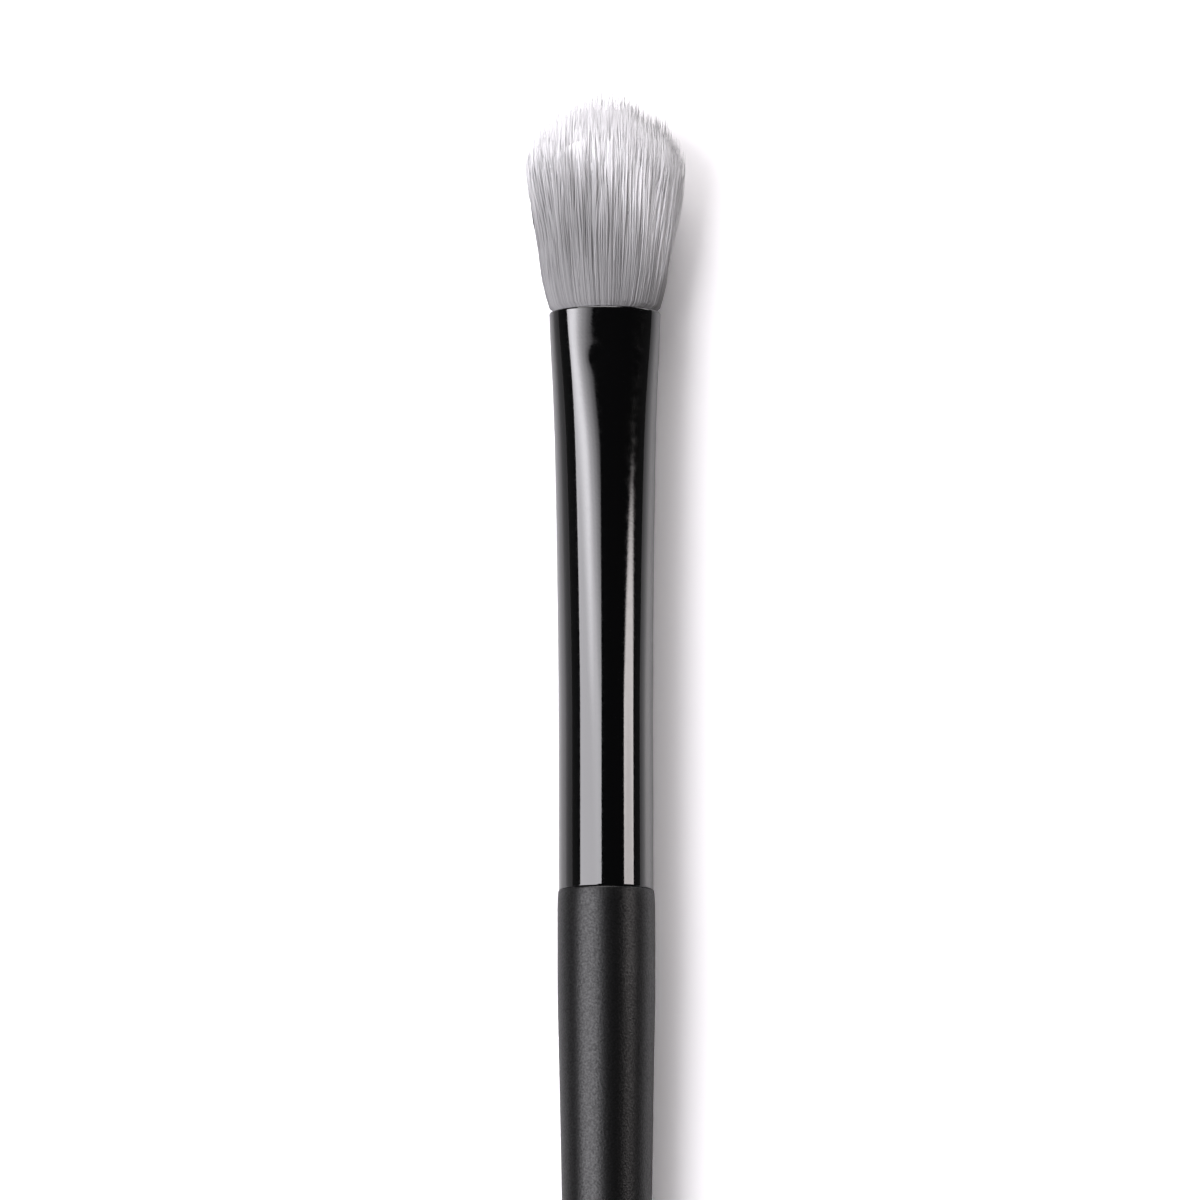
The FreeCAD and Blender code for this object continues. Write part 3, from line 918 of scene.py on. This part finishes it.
def make_world():
    """A dim room, a little lighter low down, shown white."""
    world = bpy.data.worlds.new("room")
    bpy.context.scene.world = world
    world.use_nodes = True
    tree = world.node_tree
    tree.nodes.clear()
    path = node(tree, "ShaderNodeLightPath")
    direction = node(tree, "ShaderNodeTexCoord").outputs["Generated"]
    height = node(tree, "ShaderNodeSeparateXYZ", [(0, direction)]).outputs["Z"]
    level = ranged(tree, height, *ROOM_LEVELS, *ROOM_HEIGHT_SHARES)
    dim = node(tree, "ShaderNodeBackground", [("Strength", level)], Color=WHITE)
    white = node(tree, "ShaderNodeBackground", Color=WHITE, Strength=1.0)
    chosen = mixed_shader(tree, path.outputs["Is Camera Ray"], dim, white)
    output = node(tree, "ShaderNodeOutputWorld")
    tree.links.new(chosen.outputs[0], output.inputs["Surface"])


# The softboxes

SOFTBOX_DISTANCE = 0.8

# How softly a softbox ends at the limit of its shine, as a share of its width.
LIMIT_SOFT_SHARE = 0.03


def graded(lamp, plain, band=None, fade=None, gain=0.0, rounding=0.0, limit=None):
    """Grade a softbox over its face, from 0 to 1 along its length and its width.

    plain holds the places along its length and the strengths there. band is a brighter band across it in the
    same form, which fade dims from side to side, and gain is how much the band adds. rounding is how much
    further along its sides seem to be, so that its far end fades in an arc. limit holds places along its
    length and how far across it shines there.
    """
    lamp.use_nodes = True
    tree = lamp.node_tree
    face = node(tree, "ShaderNodeNewGeometry").outputs["Parametric"]
    face = node(tree, "ShaderNodeSeparateXYZ", [(0, face)]).outputs
    across, along = face["X"], face["Y"]
    bowed = along
    if rounding:
        side = maths(tree, "MULTIPLY_ADD", across, 2, -1)
        bowed = maths(tree, "MULTIPLY_ADD", maths(tree, "MULTIPLY", side, side), rounding, along)
    total = ramp(tree, bowed, *plain)
    if band:
        glow = maths(tree, "MULTIPLY", ramp(tree, along, *band), ramp(tree, across, *fade))
        total = maths(tree, "MULTIPLY_ADD", glow, gain, total)
    if limit:
        inside = maths(tree, "SUBTRACT", ramp(tree, along, *limit), across)
        lit = ranged(tree, inside, 0, 1, 0, LIMIT_SOFT_SHARE, smooth_ends=True)
        total = maths(tree, "MULTIPLY", total, lit)
    tree.links.new(total, tree.nodes["Emission"].inputs["Strength"])


def make_softbox(
    name,
    lean,
    width,
    length,
    radiance,
    tint,
    ahead=0.0,
    turn=0.0,
    slide=(0.0, 0.0),
    distance=SOFTBOX_DISTANCE,
):
    """A flat softbox that faces the ferrule.

    Its middle leans from straight up, towards +X if positive, and lies ahead of the ferrule by an angle. It
    is turned in its own plane and slid in it, sideways and along its own length.
    """
    data = bpy.data.lights.new(name, "AREA")
    data.shape = "RECTANGLE"
    data.size = width
    data.size_y = length
    data.color = tint
    data.energy = radiance * math.pi * width * length
    lamp = bpy.data.objects.new(name, data)
    bpy.context.scene.collection.objects.link(lamp)
    angle = math.radians(lean)
    forward = math.radians(ahead)
    leaning = ACROSS * math.sin(angle) + UP * math.cos(angle)
    facing = leaning * math.cos(forward) + ALONG * math.sin(forward)
    sideways = ACROSS * math.cos(angle) - UP * math.sin(angle)
    lengthways = facing.cross(sideways)
    turned = Matrix.Rotation(math.radians(turn), 3, "Z")
    axes = Matrix((sideways, lengthways, facing)).transposed() @ turned
    middle = place((JOINT + MOUTH) / 2) + distance * facing
    middle = middle + slide[0] * axes.col[0] + slide[1] * axes.col[1]
    lamp.matrix_world = Matrix.LocRotScale(middle, axes, None)
    lamp.visible_camera = False
    return data


def make_lights():
    """The four softboxes. The grading of the first two shows in the ferrule, which mirrors them."""
    left = make_softbox(
        "left_softbox",
        lean=-41,
        turn=-14,
        width=0.795,
        length=0.75,
        radiance=4.63,
        tint=(0.972, 0.953, 1.0),
        slide=(0.022, -0.026),
    )
    graded(
        left,
        plain=((0, 0.804, 0.86, 0.902, 0.958, 1), (1, 1, 0.78, 0.52, 0.25, 0.08)),
        band=((0.68, 0.78, 0.87), (0, 1, 0)),
        fade=((0.0, 0.15, 0.45, 0.72, 1), (0.5, 1, 1, 0.2, 0)),
        gain=0.72,
        limit=((0, 0.7, 0.78, 1), (0.885, 0.885, 1.03, 1.03)),
    )
    right = make_softbox(
        "right_softbox",
        lean=57,
        width=0.36,
        length=0.144,
        radiance=5.9,
        tint=(1.0, 0.938, 0.938),
        slide=(0, 0.111),
    )
    graded(right, plain=((0, 0.36, 0.56, 0.77, 1), (0.8, 0.82, 0.95, 1, 0)), rounding=0.3)
    soft_white = (1.0, 0.97, 0.99)
    make_softbox(
        "top_softbox",
        lean=-14,
        ahead=54,
        width=0.8,
        length=0.5,
        radiance=4.1,
        tint=soft_white,
        distance=0.9,
    )
    make_softbox("low_softbox", lean=76, ahead=40, width=0.2, length=0.6, radiance=2.3, tint=soft_white)


make_floor()
make_world()
make_lights()


# The camera

CAMERA_DISTANCE = 312 * MM
SHOWN_WIDTH = 74.37 * MM
AIM_AHEAD_OF_JOINT = 18.11 * MM
AIM_ASIDE = -0.35 * MM
NEAREST_SHOWN = 0.01
FARTHEST_SHOWN = 10

# Angles in degrees, and the sensor's width in millimetres, as the lens is.
VIEW_LEAN = 9.5
ROLL = -0.11
SENSOR_WIDTH = 36


def make_camera():
    """The photograph's view: from above and a little behind, square to the brush's width."""
    data = bpy.data.cameras.new("camera")
    camera = bpy.data.objects.new("camera", data)
    bpy.context.scene.collection.objects.link(camera)
    lean = math.radians(VIEW_LEAN)
    back = UP * math.cos(lean) - ALONG * math.sin(lean)
    camera.location = place(JOINT + AIM_AHEAD_OF_JOINT, AIM_ASIDE) + CAMERA_DISTANCE * back
    axes = Matrix((ACROSS, back.cross(ACROSS), back)).transposed()
    camera.rotation_euler = (axes @ Matrix.Rotation(math.radians(ROLL), 3, "Z")).to_euler()
    data.sensor_width = SENSOR_WIDTH
    data.lens = SENSOR_WIDTH * CAMERA_DISTANCE / SHOWN_WIDTH
    data.clip_start = NEAREST_SHOWN
    data.clip_end = FARTHEST_SHOWN
    bpy.context.scene.camera = camera


make_camera()
bpy.context.scene.view_settings.view_transform = "Standard"
